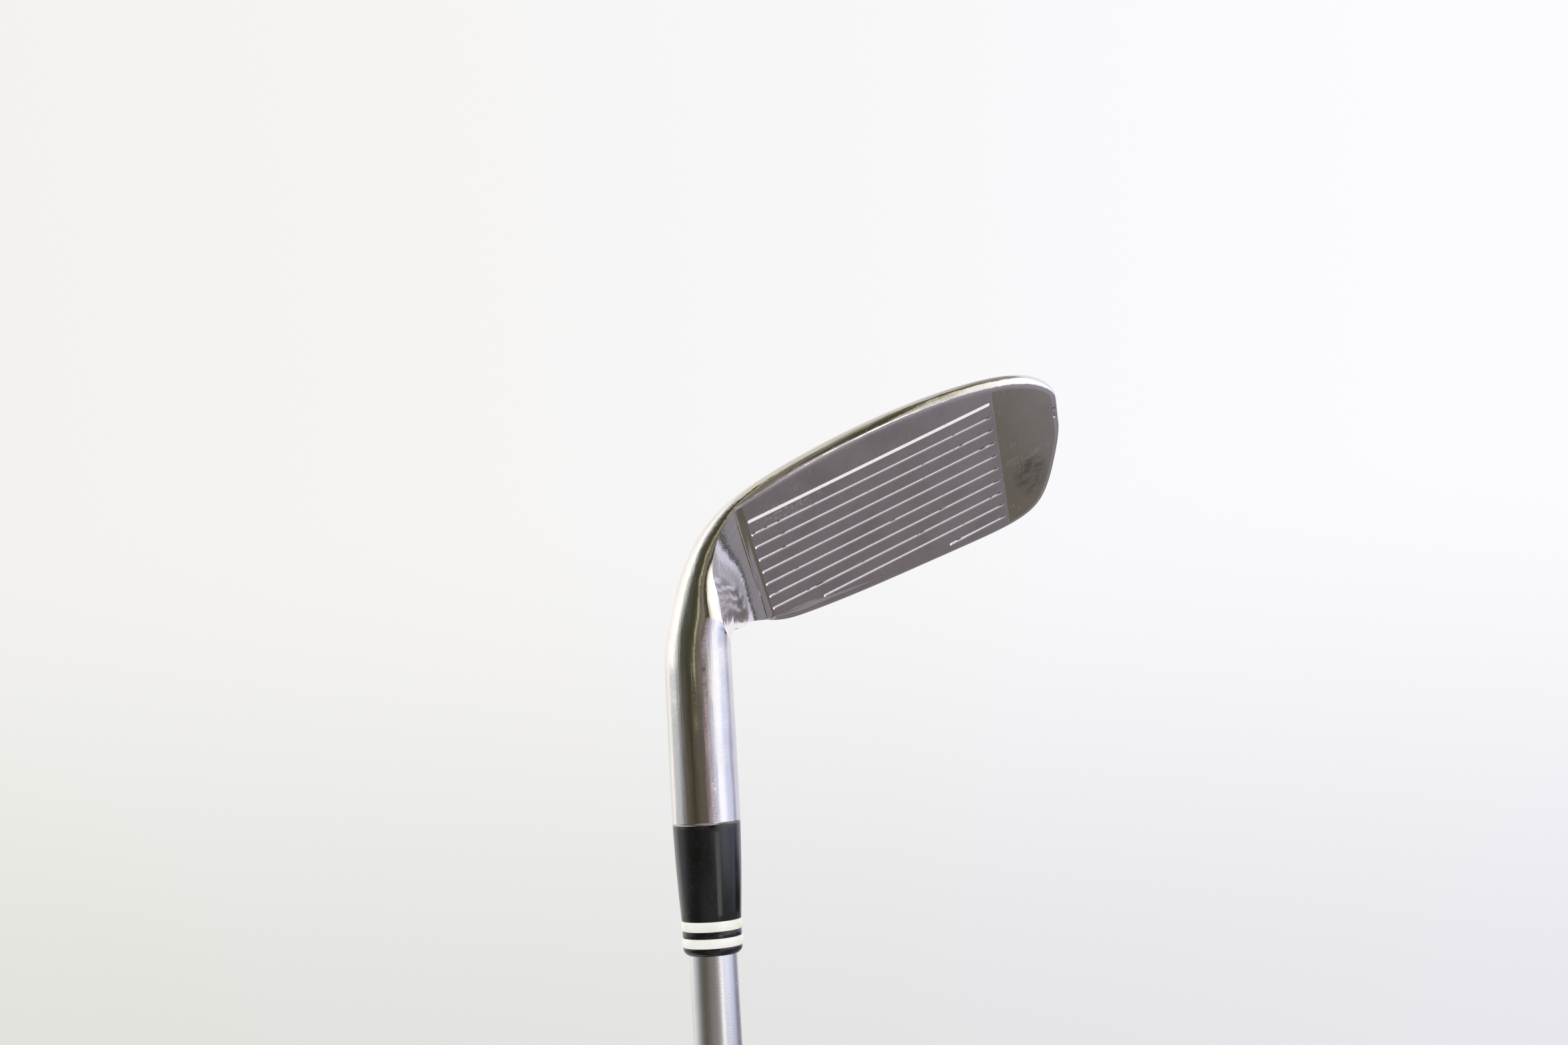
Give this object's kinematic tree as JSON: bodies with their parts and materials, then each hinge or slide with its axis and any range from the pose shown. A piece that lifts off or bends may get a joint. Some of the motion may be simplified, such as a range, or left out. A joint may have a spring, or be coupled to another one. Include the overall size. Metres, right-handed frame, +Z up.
{
  "type": "iron golf club",
  "caption": "Right-handed lofted iron club: forged-look steel head with score lines, banded ferrule, tapered steel shaft and rubber grip with a vented cap.",
  "frame": {"origin": "centre of the vent hole on the outer face of the grip cap, on the shaft axis", "axes": "+Z up the shaft axis from the grip to the head, +X to the toe side, the face looks to -Y"},
  "size_m": [0.0992, 0.0427, 0.9402],
  "materials": {
    "head_steel": "polished, worn, with a satin blasted face area",
    "score_paint": "white enamel fill, slightly dirty",
    "badge": "brushed, dark anodised",
    "adhesive": "cured foam tape",
    "epoxy": "cured",
    "ferrule_black": "glossy, lightly scratched",
    "ferrule_white": "semi-gloss, yellowed",
    "shaft_steel": "satin plated",
    "tip_weight": "turned",
    "tape": "paper tape",
    "grip_rubber": "moulded, textured"
  },
  "bodies": {
    "root": {"club_head": "head_steel", "score_line_paint": "score_paint", "badge_adhesive": "adhesive", "cavity_badge": "badge", "hosel_epoxy": "epoxy", "ferrule_body": "ferrule_black", "ferrule_upper_ring": "ferrule_white", "ferrule_spacer_ring": "ferrule_black", "ferrule_lower_ring": "ferrule_white", "ferrule_end_ring": "ferrule_black", "tip_weight": "tip_weight", "shaft": "shaft_steel", "grip_tape": "tape", "grip_sleeve": "grip_rubber", "grip_cap": "grip_rubber"}
  },
  "joints": []
}
